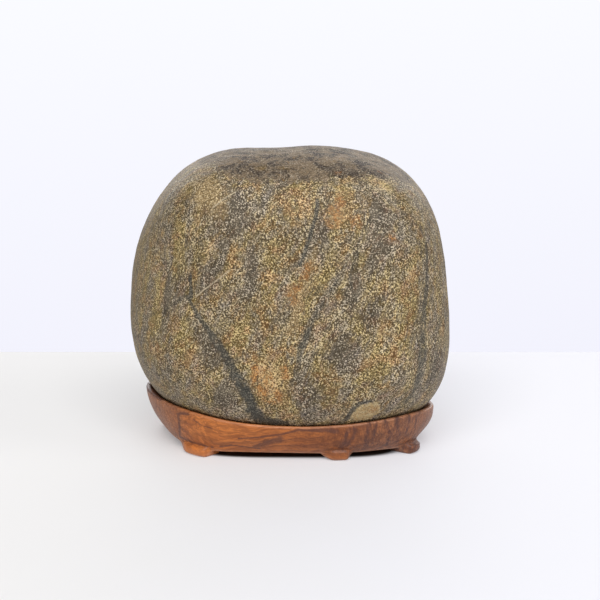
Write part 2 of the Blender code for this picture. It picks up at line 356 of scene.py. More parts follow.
# The values at which each thing starts to show, and at which it shows fully.
STONE_RISES = {
    "ruddy": (0.5, 0.74), "dusky": (0.52, 0.74), "rust": (-0.4, 0.8), "tan": (-0.3, 0.7),
    "golden": (-0.5, 0.6), "warm": (-0.6, 0.8), "cool": (-0.6, 0.8), "pale": (-0.3, 0.7),
    "vein": (-0.5, 0.5), "pebble": (-0.08, 0.12), "top": (-0.06, 0.08), "smooth": (-0.6, 0.8),
    "vein_gaps": (0.46, 0.66), "yellow": (0.37, 0.69), "sunny": (0.46, 0.64),
    "pale_pebble": (0.4, 0.62), "rusty": (0.38, 0.58), "mottle": (0.42, 0.56),
    "ochre": (0.6, 0.7), "crack": (0.014, 0.004), "crack_gaps": (0.44, 0.6),
    "crystals": (0.4, 0.75), "crowded": (0.34, 0.56), "line": (0.00055, 0.0002),
    "grains": (0.52, 0.36), "grit": (0.52, 0.4),
}

# How much each thing counts, where it isn't 1.
STONE_SHARES = {
    "patch_edge": 2.6, "pebble_edge": 0.4, "deep_veins_whole": 0.3, "warm_hue": 0.17,
    "cool_hue": 0.17, "golden_hue": 0.3, "golden": 0.7, "dusky": 0.6, "ruddy": 0.6, "ochre": 0.7,
    "crack": 0.75, "cloud_crystals": 0.3, "cool_crystals": 0.08, "pale_crystals": 0.12,
    "top_crystals": 0.1, "crowded": 0.4, "smooth_softness": 0.55, "rust_softness": 0.22,
    "pebble_softness": 0.6, "smooth_paleness": 0.04, "line_wobble": 0.001, "line": 0.6,
    "grains": 0.55, "grit": 0.55, "crystal_gloss": 0.1, "top_dullness": 0.2,
    "crystal_height": 0.6, "grain_height": 0.4,
}

# Colours as sRGB: of the ground, and of the crystals in it.
STONE_TINTS = {
    "plain": ((68, 57, 39), (204, 189, 163)), "yellow": ((87, 68, 18), (221, 197, 138)),
    "sunny": ((96, 63, 17), (227, 191, 137)), "golden": ((94, 66, 24), (216, 184, 132)),
    "dusky": ((52, 44, 43), (166, 153, 148)), "ruddy": ((92, 60, 34), (212, 174, 140)),
    "tan": ((118, 95, 56), (212, 188, 144)), "pebble": ((150, 118, 70), (212, 184, 132)),
    "pale_pebble": ((180, 160, 118), (222, 200, 152)), "rusty": ((122, 76, 31), (210, 155, 88)),
    "vein": ((48, 47, 41), (112, 107, 93)), "crack": ((54, 46, 32), (124, 110, 82)),
}
TOP_DARK = (52, 43, 39)
TOP_LIGHT = (128, 110, 87)
TOP_OCHRE = (138, 106, 60)
TOP_CRYSTALS = (182, 168, 146)
LINE_COLOUR = (196, 180, 150)
PIT_COLOUR = (44, 37, 27)

VEIN_DARKENING = 0.45
MIDDLE_SPECKLE = 0.28
SPARSE_CONTRAST = 0.6
STONE_ROUGHNESS = 0.66
STONE_SHINE = 0.4
STONE_RELIEF = 0.0001

# --- The wood's material ---

# Where the grain bends, as (size, reach).
WOOD_BENDS = ((0.04, 0.007), (0.009, 0.001))

# How much longer features are along each axis: along the grain first, or upright last.
WOOD_STRETCHES = {
    "long": (8.0, 1.0, 1.0), "fibres": (10.0, 1.0, 1.0), "flames": (2.2, 2.2, 1.0),
    "upright": (1.0, 1.0, 4.5), "rays": (1.0, 1.0, 5.0),
}

# Noise as (size, detail, roughness, distortion where there is any).
WOOD_PATTERNS = {
    "ring_sway": (0.02, 2.0, 0.5), "ring_strength": (0.012, 2.0, 0.5),
    "dark": (0.01, 3.0, 0.6, 0.5), "fibres": (0.0009, 3.0, 0.7, 0.3),
    "flames": (0.0017, 3.0, 0.7, 1.0), "upright": (0.0012, 3.0, 0.6, 0.8),
    "tone": (0.005, 4.0, 0.7), "rays": (0.0034, 3.0, 0.65, 0.6),
    "streak_edge": (0.003, 4.0, 0.7),
}

# The values at which each thing starts to show, and at which it shows fully.
WOOD_RISES = {
    "ring": (0.3, 0.88), "ring_end": (1.0, 0.9), "ring_strength": (0.38, 0.66),
    "tone": (0.25, 0.75), "rays": (0.54, 0.4), "dark": (0.54, 0.7), "streak": (-0.4, 0.7),
    "pale": (0.46, 0.66), "deep": (0.5, 0.34), "fine": (0.58, 0.42), "edge_highlight": (0.25, 0.65),
}

# How much each thing counts, where it isn't 1.
WOOD_SHARES = {
    "ring_sway": 1.6, "end_figure": 0.5, "end": 0.6, "end_ring": 0.2, "rays": 0.4, "dark": 0.34,
    "streak_edge": 1.8, "streak": 0.72, "figured_pale": 0.18, "figured_deep": 0.4, "fine": 0.44,
    "rubbed": 0.44, "edge_highlight": 0.4, "fine_roughness": 0.12,
}
PLAIN_RING = 0.5
PLAIN_PALE = 0.1
PLAIN_DEEP = 0.07

# Colours as sRGB, the first two pairs as (dark, light).
PLAIN_WOOD = ((158, 86, 36), (208, 124, 56))
FIGURED_WOOD = ((84, 45, 23), (114, 62, 31))
WOOD_COLOURS = {
    "end": (158, 106, 71), "ring": (88, 50, 34), "rays": (92, 52, 36), "dark": (78, 48, 40),
    "streak": (70, 44, 42), "pale": (200, 124, 70), "deep": (66, 38, 30), "fine": (88, 46, 27),
    # the second colour on the next line is a painted highlight along the rounded edges of the rim
    # and the lower edge
    "rubbed": (216, 130, 68), "edge_highlight": (206, 150, 116),
}

WOOD_ROUGHNESS = 0.38
WOOD_SHINE = 0.36
WAX_SHARE = 0.06
WAX_ROUGHNESS = 0.25
WOOD_RELIEF = 0.00004

# --- Shared helpers ---


def direction(bearing, elevation):
    """Unit vectors for bearings and elevations, single or in arrays."""
    turn, rise = np.radians(bearing), np.radians(elevation)
    across = np.cos(rise)
    return np.stack(
        np.broadcast_arrays(np.sin(turn) * across, -np.cos(turn) * across, np.sin(rise)), axis=-1
    )


def mix(low, high, share):
    return low + (high - low) * share


def smooth_step(value):
    value = np.clip(value, 0.0, 1.0)
    return value * value * (3.0 - 2.0 * value)


def waves(points):
    """Smooth noise from -1 to 1 at each point."""
    flat = points.reshape(-1, 3)
    return np.array([noise.noise(Vector(point)) for point in flat]).reshape(points.shape[:-1])


def linear(red, green, blue):
    """An sRGB colour as Blender's linear one."""
    shares = [value / 255 for value in (red, green, blue)]
    return [s / 12.92 if s <= 0.04045 else ((s + 0.055) / 1.055) ** 2.4 for s in shares] + [1.0]


def worn_radius(towards, faces, sharpness):
    """Distance to a block of flat faces whose edges are worn round."""
    total = 0.0
    for bearing, elevation, distance in faces:
        facing = towards @ direction(bearing, elevation) / distance
        total = total + np.maximum(facing, 0.0) ** sharpness
    return total ** (-1.0 / sharpness)


def rock_radius(towards):
    """Distance from the rock's middle to its surface, for unit vectors."""
    radius = worn_radius(towards, WORN_FACES, WORN_EDGE_SHARPNESS)
    for bearing, elevation, width, height in SWELLS:
        away = np.degrees(np.arccos(np.clip(towards @ direction(bearing, elevation), -1.0, 1.0)))
        radius = radius + height * np.exp(-0.5 * (away / width) ** 2)
    return radius + WAVE_HEIGHT * waves(towards * WAVES_PER_RADIUS)


def new_piece(name, points, faces, material, nodes):
    """A smooth mesh that rides on the only body and stands for the solids named in nodes."""
    mesh = bpy.data.meshes.new(name)
    mesh.from_pydata(points, [], faces)
    mesh.update()
    mesh.materials.append(material)
    mesh.shade_smooth()
    piece = bpy.data.objects.new(name, mesh)
    bpy.context.scene.collection.objects.link(piece)
    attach(piece, "root")
    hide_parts(*nodes)
    return piece


def add_values(piece, name, values):
    """Stores one value a point for the piece's material to read."""
    layer = piece.data.attributes.new(name, "FLOAT", "POINT")
    layer.data.foreach_set("value", np.asarray(values, dtype=np.float32))


class Nodes:
    """Adds nodes to one new material or world. Each method returns the new node's output.

    The tables give noise, rises and shares by name.
    """

    def __init__(self, block, shader, patterns=None, rises=None, shares=None):
        self.patterns, self.rises, self.shares = patterns, rises, shares
        self.block = block
        block.use_nodes = True
        self.tree = block.node_tree
        self.shader = self.tree.nodes[shader]
        self.place = self.add("TexCoord", "Object")

    def put(self, socket, value):
        if isinstance(value, bpy.types.NodeSocket):
            self.tree.links.new(value, socket)
        else:
            socket.default_value = value

    def add(self, kind, output, inputs=None, **settings):
        node = self.tree.nodes.new("ShaderNode" + kind)
        for name, value in settings.items():
            setattr(node, name, value)
        for name, value in (inputs or {}).items():
            self.put(node.inputs[name], value)
        return node.outputs[output]

    def value(self, name):
        return self.add("Attribute", "Fac", attribute_name=name)

    def calc(self, operation, first, second=0.0):
        return self.add("Math", 0, {0: first, 1: second}, operation=operation)

    def times(self, first, second):
        return self.calc("MULTIPLY", first, second)

    def plus(self, first, second):
        return self.calc("ADD", first, second)

    def minus(self, first, second):
        return self.calc("SUBTRACT", first, second)

    def most(self, first, second):
        return self.calc("MAXIMUM", first, second)

    def rest(self, value):
        """What a value leaves of 1."""
        return self.minus(1.0, value)

    def part(self, name, value):
        """The named share of a value."""
        return self.times(value, self.shares[name])

    def swing(self, name):
        """The named share of the named noise, to either side of 0."""
        return self.part(name, self.minus(self.pattern(name), 0.5))

    def noise(self, size, detail, roughness, distortion=0.0, place=None, output="Fac"):
        inputs = {
            "Vector": place or self.place,
            "Scale": 1.0 / size,
            "Detail": detail,
            "Roughness": roughness,
            "Distortion": distortion,
        }
        return self.add("TexNoise", output, inputs)

    def pattern(self, name, place=None):
        return self.noise(*self.patterns[name], place=place)

    def shown(self, name, value=None, place=None):
        """How far the named thing shows, from 0 to 1, by a value or by the noise of that name."""
        low, high = self.rises[name]
        inputs = {"Value": value or self.pattern(name, place), "From Min": low, "From Max": high}
        return self.add("MapRange", "Result", inputs, interpolation_type="SMOOTHSTEP")

    def turned(self, angles, stretch, place):
        """Coordinates in turned axes, with features longer along each axis by its stretch."""
        inputs = {
            "Vector": place,
            "Rotation": [math.radians(angle) for angle in angles],
            "Scale": stretch,
        }
        return self.add("Mapping", "Vector", inputs, vector_type="TEXTURE")

    def wander(self, steps):
        """Coordinates moved about by up to reach, over features of one size, for each step."""
        place = self.place
        for size, reach in steps:
            place = self.moved(size, reach, place)
        return place

    def moved(self, size, reach, place):
        shift = self.noise(size, 2.0, 0.5, place=place, output="Color")
        centred = self.add("VectorMath", 0, {0: shift, 1: (0.5, 0.5, 0.5)}, operation="SUBTRACT")
        scaled = self.add("VectorMath", 0, {0: centred, "Scale": 2 * reach}, operation="SCALE")
        return self.add("VectorMath", 0, {0: place, 1: scaled}, operation="ADD")

    def paint(self, share, under, over):
        """Under where share is 0 and over where it is 1, each an output or an sRGB colour."""
        node = self.tree.nodes.new("ShaderNodeMix")
        node.data_type = "RGBA"
        self.put(node.inputs[0], share)
        for index, colour in ((6, under), (7, over)):
            self.put(node.inputs[index], linear(*colour) if isinstance(colour, tuple) else colour)
        return node.outputs[2]

    def bump(self, height, reach):
        """Sets fine relief: height runs from 0 to 1, and reach is its real height."""
        inputs = {"Height": height, "Distance": reach, "Strength": 1.0}
        self.put(self.shader.inputs["Normal"], self.add("Bump", "Normal", inputs))


def new_material(name, *tables):
    return Nodes(bpy.data.materials.new(name), "Principled BSDF", *tables)


# --- The rock ---


def path_share(places, marks, half_start, half_end, scale=1.0):
    """1 in the middle of a path through marks, 0 at its edges and below 0 beyond them."""
    share = np.full(places.shape[:-1], FARTHEST_SHARE)
    spans = len(marks) - 1
    for index in range(spans):
        offset = places - marks[index]
        run = marks[index + 1] - marks[index]
        along = np.clip(offset @ run / (run @ run), 0.0, 1.0)
        away = np.linalg.norm(offset - along[..., None] * run, axis=-1) * scale
        half_width = mix(half_start, half_end, (index + along) / spans)
        share = np.maximum(share, 1.0 - away / half_width)
    return share


def patch_share(towards, radius, bearing, elevation, half_length, half_width, lean):
    """1 in the middle of an oval patch, 0 at its edge and below 0 beyond it."""
    middle = direction(bearing, elevation)
    right = direction(bearing + 90, 0)
    up = direction(bearing, elevation + 90)
    turn = math.radians(lean)
    along = up * math.cos(turn) + right * math.sin(turn)
    across = right * math.cos(turn) - up * math.sin(turn)
    offset = (towards - middle) * radius[:, None]
    away = np.hypot(offset @ along / half_length, offset @ across / half_width)
    away = np.hypot(away, np.minimum(offset @ middle, 0.0) / half_length)
    return 1.0 - away


def line_sides(towards, radius):
    """Signed distances to the nearest pale line, and 1 where a point is abreast of it."""
    side = np.full(len(towards), 1.0)
    abreast = np.zeros(len(towards))
    for places in PALE_LINES:
        start, end = direction(*np.array(places, dtype=float).T)
        run = end - start
        normal = np.cross(start, end)
        along = (towards - start) @ run / (run @ run)
        own = smooth_step((0.5 - np.abs(along - 0.5)) / LINE_FADE + 0.5) * (towards @ start > 0)
        away = (towards @ normal) / np.linalg.norm(normal) * radius
        nearer = (np.abs(away) < np.abs(side)) & (own > 0)
        side = np.where(nearer, away, side)
        abreast = np.where(nearer, own, abreast)
    return side, abreast


def top_share(towards, radius):
    """Above 0 on the dark top of the rock and below 0 outside it."""
    bearings = np.degrees(np.arctan2(towards[:, 0], -towards[:, 1]))
    rises = np.degrees(np.arcsin(towards[:, 2]))
    marks = np.array(TOP_EDGE)
    edge = np.interp(bearings, marks[:, 0], marks[:, 1], period=360)
    return np.clip(np.radians(rises - edge) * radius / TOP_FADE, -1.0, 1.0)


def make_rock(material):
    """A ball of even squares whose points move out to the worn faces, veins and skin."""
    shape = bmesh.new()
    bmesh.ops.create_cube(shape, size=2.0)
    bmesh.ops.subdivide_edges(shape, edges=shape.edges[:], cuts=SKIN_CELLS, use_grid_fill=True)
    cube = np.array([point.co[:] for point in shape.verts])
    faces = [[point.index for point in face.verts] for face in shape.faces]
    shape.free()
    towards = np.tan(cube * math.pi / 4)
    towards /= np.linalg.norm(towards, axis=1)[:, None]
    smooth = rock_radius(towards)
    radius = smooth.copy()
    for crest_distance, height in SKIN_WAVES:
        radius += height * waves(towards * smooth[:, None] / crest_distance)
    vein = np.full(len(towards), FARTHEST_SHARE)
    vein_depth = np.zeros(len(towards))
    for depth, half_start, half_end, places in VEINS:
        marks = direction(*np.array(places, dtype=float).T)
        share = path_share(towards, marks, half_start, half_end, smooth)
        radius -= depth * smooth_step(share + VEIN_SHOULDER)
        vein_depth = np.where(share > vein, depth / VEIN_DEEPEST, vein_depth)
        vein = np.maximum(vein, share)
    points = ROCK_MIDDLE + towards * radius[:, None]
    rock = new_piece("rock_skin", points, faces, material, ["stone"])
    add_values(rock, "vein", np.maximum(vein, FARTHEST_VEIN))
    add_values(rock, "vein_depth", vein_depth)
    add_values(rock, "top", top_share(towards, smooth))
    side, abreast = line_sides(towards, smooth)
    add_values(rock, "line_side", np.clip(side, -LINE_REACH, LINE_REACH))
    add_values(rock, "line_abreast", abreast)
    for colour, patches in PATCHES.items():
        shares = [patch_share(towards, smooth, *patch) for patch in patches]
        add_values(rock, colour, np.maximum(np.max(shares, axis=0), FARTHEST_MARK))


def stone_finish():
    """Fine pale crystals in a ground whose hue drifts in streaks, with rusty and tan patches."""
    stone = new_material("stone", STONE_PATTERNS, STONE_RISES, STONE_SHARES)
    value, calc, pattern, shown = stone.value, stone.calc, stone.pattern, stone.shown
    part, rest, most = stone.part, stone.rest, stone.most
    times, plus, minus = stone.times, stone.plus, stone.minus
    drifted = stone.wander(STONE_DRIFTS)
    turned = {
        name: stone.turned(angles, stretch, drifted)
        for name, (angles, stretch) in STONE_TURNS.items()
    }
    edge = stone.swing("patch_edge")

    def patch(name):
        return shown(name, plus(value(name), edge))

    def tinted(colours, layers):
        """Paints each named layer over the colours of the ground and the crystals."""
        for name, share in layers.items():
            colours = [stone.paint(share, *pair) for pair in zip(colours, STONE_TINTS[name])]
        return colours

    rust, tan, golden, warm, cool = map(patch, ("rust", "tan", "golden", "warm", "cool"))
    pale, vein, top, smooth = map(patch, ("pale", "vein", "top", "smooth"))
    pebble = shown("pebble", plus(value("pebble"), part("pebble_edge", edge)))
    depth = value("vein_depth")
    whole = plus(pattern("vein_gaps"), part("deep_veins_whole", depth))
    vein = times(vein, shown("vein_gaps", whole))
    vein = times(vein, calc("POWER", depth, VEIN_DARKENING))
    crack = calc("ABSOLUTE", minus(pattern("crack", turned["streaks"]), 0.5))
    crack = times(shown("crack", crack), shown("crack_gaps"))
    crack = times(crack, rest(most(top, pebble)))

    hue = plus(pattern("streaks", turned["streaks"]), part("warm_hue", warm))
    hue = minus(hue, part("cool_hue", cool))
    hue = plus(hue, part("golden_hue", golden))
    yellow = shown("yellow", hue)
    rusty = times(rust, shown("rusty"))
    layers = {
        "yellow": yellow,
        "sunny": times(yellow, shown("sunny")),
        "golden": part("golden", golden),
        "dusky": part("dusky", shown("dusky", place=turned["dusky"])),
        "ruddy": part("ruddy", shown("ruddy", place=turned["ruddy"])),
        "tan": tan,
        "pebble": pebble,
        "pale_pebble": times(pebble, shown("pale_pebble")),
        "rusty": rusty,
    }
    ground, crystals = tinted(STONE_TINTS["plain"], layers)
    dark_top = stone.paint(shown("mottle"), TOP_DARK, TOP_LIGHT)
    dark_top = stone.paint(part("ochre", shown("ochre")), dark_top, TOP_OCHRE)
    ground = stone.paint(times(top, rest(most(rusty, tan))), ground, dark_top)
    crystals = stone.paint(top, crystals, TOP_CRYSTALS)
    layers = {"vein": vein, "crack": part("crack", crack)}
    ground, crystals = tinted((ground, crystals), layers)

    clouds = pattern("clouds", turned["clouds"])
    cover = minus(part("cloud_crystals", minus(clouds, 0.5)), part("cool_crystals", cool))
    cover = plus(cover, part("pale_crystals", pale))
    cover = minus(cover, part("top_crystals", top))
    speckled = shown("crystals", plus(pattern("crystals"), cover))
    softer = most(part("smooth_softness", smooth), part("rust_softness", rusty))
    softer = most(softer, part("pebble_softness", pebble))
    contrast = plus(part("crowded", shown("crowded")), SPARSE_CONTRAST)
    contrast = times(contrast, rest(softer))
    speckled = times(minus(speckled, MIDDLE_SPECKLE), contrast)
    speckled = plus(speckled, plus(part("smooth_paleness", smooth), MIDDLE_SPECKLE))
    colour = stone.paint(speckled, ground, crystals)

    away = plus(value("line_side"), stone.swing("line_wobble"))
    line = times(shown("line", calc("ABSOLUTE", away)), value("line_abreast"))
    colour = stone.paint(part("line", line), colour, LINE_COLOUR)
    grains = pattern("grains")
    pits = part("grains", shown("grains", grains))
    pits = most(pits, times(shown("grit"), part("grit", top)))
    colour = stone.paint(pits, colour, PIT_COLOUR)

    inputs = stone.shader.inputs
    stone.put(inputs["Base Color"], colour)
    stone.put(inputs["Roughness"], minus(STONE_ROUGHNESS, part("crystal_gloss", speckled)))
    stone.put(inputs["Specular IOR Level"], minus(STONE_SHINE, part("top_dullness", top)))
    height = plus(part("crystal_height", speckled), part("grain_height", grains))
    stone.bump(height, STONE_RELIEF)
    return stone.block


# --- The stand ---


def rock_reach(bearings, heights):
    """Distances from the rock's axis to its surface, at heights above the ground."""
    outward = direction(bearings, 0)
    near = np.zeros(len(bearings))
    far = np.full(len(bearings), SEAT_SEARCH_FAR)
    for _ in range(SEAT_SEARCH_HALVINGS):
        reach = (near + far) / 2
        points = outward * reach[:, None]
        points[:, 2] = heights - ROCK_MIDDLE[2]
        length = np.linalg.norm(points, axis=1)
        inside = rock_radius(points / length[:, None]) > length
        near = np.where(inside, reach, near)
        far = np.where(inside, far, reach)
    return near


def rim_at(bearings):
    """The rim's heights and thicknesses, on smooth curves through RIM."""
    count = len(RIM)
    marks = np.array(RIM)
    turns = (bearings - marks[0, 0]) % 360.0 + marks[0, 0]
    index = np.searchsorted(marks[:, 0], turns, side="right") - 1

    def mark(offset):
        place = index + offset
        return marks[place % count, 0] + 360.0 * (place // count), marks[place % count, 1:].T

    (b0, before), (b1, near), (b2, far), (b3, after) = (mark(offset) for offset in (-1, 0, 1, 2))
    share = (turns - b1) / (b2 - b1)
    leaving = share**3 - 2 * share**2 + share
    arriving = share**3 - share**2
    return (
        mix(near, far, smooth_step(share))
        + leaving * (far - before) / (b2 - b0) * (b2 - b1)
        + arriving * (after - near) / (b3 - b1) * (b2 - b1)
    )


def side_radius(bearings):
    """Distance from the rock's axis to the stand's lower edge."""
    sides = [(bearing, 0, distance) for bearing, distance in STAND_SIDES]
    return worn_radius(direction(bearings, 0), sides, SIDE_SHARPNESS)


def foot_share(bearings):
    """(share, proud): share is 1 under the flat of a foot and 0 between feet."""
    share = np.zeros(len(bearings))
    proud = np.zeros(len(bearings))
    for foot, foot_proud, half_width, left_cove, right_cove in FEET:
        turn = (bearings - foot + 180.0) % 360.0 - 180.0
        cove = np.where(turn < 0, left_cove, right_cove)
        past_flat = np.radians(np.abs(turn)) * side_radius(np.array([foot])) - half_width
        own = 1.0 - np.clip(past_flat / cove, 0.0, 1.0) ** COVE_POWER
        share = np.maximum(share, own)
        proud = np.maximum(proud, own**PROUD_POWER * foot_proud)
    return share, proud


def foot_lobe(height):
    """How far a foot's face swells at one height, from 0 to 1."""
    away = np.abs(height - LOBE_MIDDLE) / LOBE_HALF_HEIGHT
    return np.maximum(1.0 - away**LOBE_POWER, 0.0)


def stand_sections(bearings):
    """Radii and heights of every section's points, ring by ring.

    They run from the middle of the underside out to the lower edge, up the outer wall, over the
    rim and down the recess to its middle.
    """
    side = side_radius(bearings)
    foot, foot_proud = foot_share(bearings)
    rightward = (1.0 + np.sin(np.radians(bearings))) / 2
    fullness = mix(LEFT_WALL_FULLNESS, RIGHT_WALL_FULLNESS, rightward)
    lower = LOWER_EDGE_HEIGHT * (1.0 - foot)
    underside = UNDERSIDE_HEIGHT * (1.0 - foot)
    rim, thickness = rim_at(bearings)
    rim_inside = rock_reach(bearings, rim) + SEAT_GAP
    rim_outside = rim_inside + thickness

    def wall(height):
        climb = np.clip((height - LOWER_EDGE_HEIGHT) / (rim - LOWER_EDGE_HEIGHT), 0.0, 1.0)
        flare = 1.0 - (1.0 - climb) ** fullness
        return mix(side, rim_outside, flare) + foot_proud * foot_lobe(height)

    foot_back = side - FOOT_DEPTH
    rings = []
    for share in np.arange(UNDERSIDE_RINGS) / UNDERSIDE_RINGS:
        rings.append((foot_back * share, np.full(len(bearings), UNDERSIDE_HEIGHT)))
    for share in np.arange(EDGE_RINGS) / EDGE_RINGS:
        height = mix(UNDERSIDE_HEIGHT, underside, smooth_step(share))
        rings.append((foot_back + EDGE_ROUNDING * share, height))
    edge = wall(lower) - EDGE_ROUNDING
    for share in np.arange(FOOT_RINGS) / FOOT_RINGS:
        rings.append((mix(foot_back + EDGE_ROUNDING, edge, share), mix(underside, lower, share)))
    for share in np.arange(EDGE_RINGS) / EDGE_RINGS:
        turn = share * math.pi / 2
        height = lower + EDGE_ROUNDING * (1.0 - math.cos(turn))
        rings.append((wall(height) - EDGE_ROUNDING * (1.0 - math.sin(turn)), height))
    wall_foot = lower + EDGE_ROUNDING
    wall_head = rim - RIM_ROUNDING
    for share in np.arange(WALL_RINGS) / WALL_RINGS:
        height = mix(wall_foot, wall_head, share)
        radius = wall(height)
        points = direction(bearings, 0) * radius[:, None]
        points[:, 2] = height
        fade = smooth_step(share / CARVING_FADE) * smooth_step((1.0 - share) / CARVING_FADE)
        for crest_distance, depth in CARVING_WAVES:
            radius = radius + fade * depth * waves(points / crest_distance)
        rings.append((radius, height))
    for share in np.arange(RIM_RINGS) / RIM_RINGS:
        turn = share * math.pi
        radius = mix(rim_outside, rim_inside, (1.0 - math.cos(turn)) / 2)
        rings.append((radius, wall_head + RIM_ROUNDING * math.sin(turn)))
    start = np.degrees(np.arctan2(wall_head - ROCK_MIDDLE[2], rim_inside))
    for share in np.arange(RECESS_RINGS + 1) / RECESS_RINGS:
        towards = direction(bearings, mix(start, -90.0, share))
        seat = rock_radius(towards) + SEAT_GAP
        radius = np.hypot(towards[:, 0], towards[:, 1]) * seat
        rings.append((radius, towards[:, 2] * seat + ROCK_MIDDLE[2]))
    return rings


def streak_share(bearings, heights):
    """1 in the middle of a dark streak, 0 at its edges and down to FARTHEST_MARK beyond them."""
    around = np.radians(bearings) * STREAK_RADIUS
    places = np.stack(np.broadcast_arrays(around, heights), axis=-1)
    share = np.full(heights.shape, FARTHEST_MARK)
    for half_start, half_end, marks in WOOD_STREAKS:
        marks = [(math.radians(bearing) * STREAK_RADIUS, rise / 1000) for bearing, rise in marks]
        share = np.maximum(share, path_share(places, np.array(marks), half_start, half_end))
    return share


def rubbed_share(bearings, heights):
    """1 on the swelling faces of the feet."""
    share, _ = foot_share(bearings)
    return share * foot_lobe(heights)


def edge_highlight_share(heights):
    """1 along the rim's outer edge and the lower edge, where a painted highlight makes the wood
    pale.
    """
    first = UNDERSIDE_RINGS + EDGE_RINGS + FOOT_RINGS
    last = first + EDGE_RINGS + WALL_RINGS + RIM_RINGS // 2
    edge_highlight = np.zeros(heights.shape)
    outer = heights[first:last]
    above_edge = (outer - outer[0] - HIGHLIGHT_ABOVE_EDGE) / HIGHLIGHT_WIDTH
    below_rim = (outer - outer[-1] + HIGHLIGHT_BELOW_RIM) / HIGHLIGHT_WIDTH
    edge_highlight[first:last] = np.exp(-(above_edge**2)) + np.exp(-(below_rim**2))
    return edge_highlight


def make_stand(material):
    """Rings of points, joined side by side, from the middle of the underside to the recess's."""
    bearings = np.arange(STAND_BEARINGS) * 360.0 / STAND_BEARINGS - 180.0
    outward = direction(bearings, 0)
    rings = []
    for radius, height in stand_sections(bearings):
        ring = outward * radius[:, None]
        ring[:, 2] = height
        rings.append(ring)
    inner = rings[1:-1]
    count = STAND_BEARINGS
    points = np.concatenate([rings[0][:1], *inner, rings[-1][:1]])
    last = len(points) - 1
    faces = []
    for side in range(count):
        following = (side + 1) % count
        faces.append((0, 1 + following, 1 + side))
        for ring in range(len(inner) - 1):
            low, high = 1 + ring * count, 1 + (ring + 1) * count
            faces.append((low + side, low + following, high + following, high + side))
        top = 1 + (len(inner) - 1) * count
        faces.append((top + side, top + following, last))
    stand = new_piece("carved_stand", points, faces, material, ["stand"])
    facing = np.abs(outward @ direction(GRAIN_BEARING, 0))
    end_grain = smooth_step((facing - END_GRAIN_FROM) / (END_GRAIN_TO - END_GRAIN_FROM))
    heights = np.array([ring[:, 2] for ring in rings])
    figure = np.interp(bearings, *np.array(FIGURE).T)
    shares = {
        "end_grain": np.tile(end_grain, (len(rings), 1)),
        "figure": np.tile(figure, (len(rings), 1)),
        "streak": streak_share(bearings, heights),
        # a painted highlight along the rim's outer edge and the lower edge
        "edge_highlight": edge_highlight_share(heights),
        "rubbed": rubbed_share(bearings, heights),
    }
    for name, share in shares.items():
        add_values(stand, name, np.concatenate([share[0, :1], share[1:-1].ravel(), share[-1, :1]]))


def wood_finish():
    """Rosewood along its grain in front and across it at the ends, waxed to a satin sheen."""
    wood = new_material("wood", WOOD_PATTERNS, WOOD_RISES, WOOD_SHARES)
    value, calc, pattern, shown = wood.value, wood.calc, wood.pattern, wood.shown
    part, rest, most, times, plus = wood.part, wood.rest, wood.most, wood.times, wood.plus
    bent = wood.wander(WOOD_BENDS)
    grain = wood.turned((0, 0, GRAIN_BEARING - 90), (1.0, 1.0, 1.0), bent)

    def stretched(name, place):
        return wood.turned((0, 0, 0), WOOD_STRETCHES[name], place)

    long = stretched("long", grain)
    across = plus(wood.add("SeparateXYZ", "Y", {"Vector": grain}), HEART_BEHIND)
    above = plus(wood.add("SeparateXYZ", "Z", {"Vector": grain}), HEART_BELOW)
    from_heart = calc("SQRT", plus(times(across, across), times(above, above)))
    rings = calc("DIVIDE", from_heart, RING_WIDTH)
    growth = calc("FRACT", plus(rings, part("ring_sway", pattern("ring_sway", long))))
    ring = times(shown("ring", growth), shown("ring_end", growth))
    ring = times(ring, shown("ring_strength", place=long))
    end, figure = value("end_grain"), value("figure")
    figured = most(figure, part("end_figure", end))
    flames = pattern("flames", stretched("flames", bent))
    upright = pattern("upright", stretched("upright", bent))
    flames = wood.paint(most(figure, end), flames, upright)
    rays = pattern("rays", stretched("rays", bent))
    streak = shown("streak", plus(value("streak"), wood.swing("streak_edge")))
    fibres = pattern("fibres", stretched("fibres", grain))
    fine = shown("fine", fibres)
    # A painted highlight along the rim's outer edge and the lower edge, broken up by the fibres.
    edge_highlight = times(value("edge_highlight"), shown("edge_highlight", fibres))
    rubbed = times(calc("POWER", value("rubbed"), 2.0), rest(figure))

    layers = {
        "end": part("end", end),
        "ring": times(ring, plus(part("end_ring", end), PLAIN_RING)),
        "rays": times(shown("rays", rays), part("rays", end)),
        "dark": part("dark", shown("dark", place=long)),
        "streak": part("streak", streak),
        "pale": times(shown("pale", flames), plus(part("figured_pale", figured), PLAIN_PALE)),
        "deep": times(shown("deep", flames), plus(part("figured_deep", figured), PLAIN_DEEP)),
        "fine": part("fine", fine),
        "rubbed": part("rubbed", rubbed),
        # the painted highlight, kept off the dark streaks
        "edge_highlight": part("edge_highlight", times(edge_highlight, rest(streak))),
    }
    tone = shown("tone", place=long)
    plain_wood, figured_wood = wood.paint(tone, *PLAIN_WOOD), wood.paint(tone, *FIGURED_WOOD)
    colour = wood.paint(figure, plain_wood, figured_wood)
    for name, share in layers.items():
        colour = wood.paint(share, colour, WOOD_COLOURS[name])

    inputs = wood.shader.inputs
    wood.put(inputs["Base Color"], colour)
    wood.put(inputs["Roughness"], plus(WOOD_ROUGHNESS, part("fine_roughness", fine)))
    inputs["Specular IOR Level"].default_value = WOOD_SHINE
    inputs["Coat Weight"].default_value = WAX_SHARE
    inputs["Coat Roughness"].default_value = WAX_ROUGHNESS
    wood.bump(rest(fine), WOOD_RELIEF)
    return wood.block


# --- The stage, lights and camera ---

FLOOR_BACK = 0.19
FLOOR_FRONT = -1.6
FLOOR_HALF_WIDTH = 1.6
FLOOR_THICKNESS = 0.02

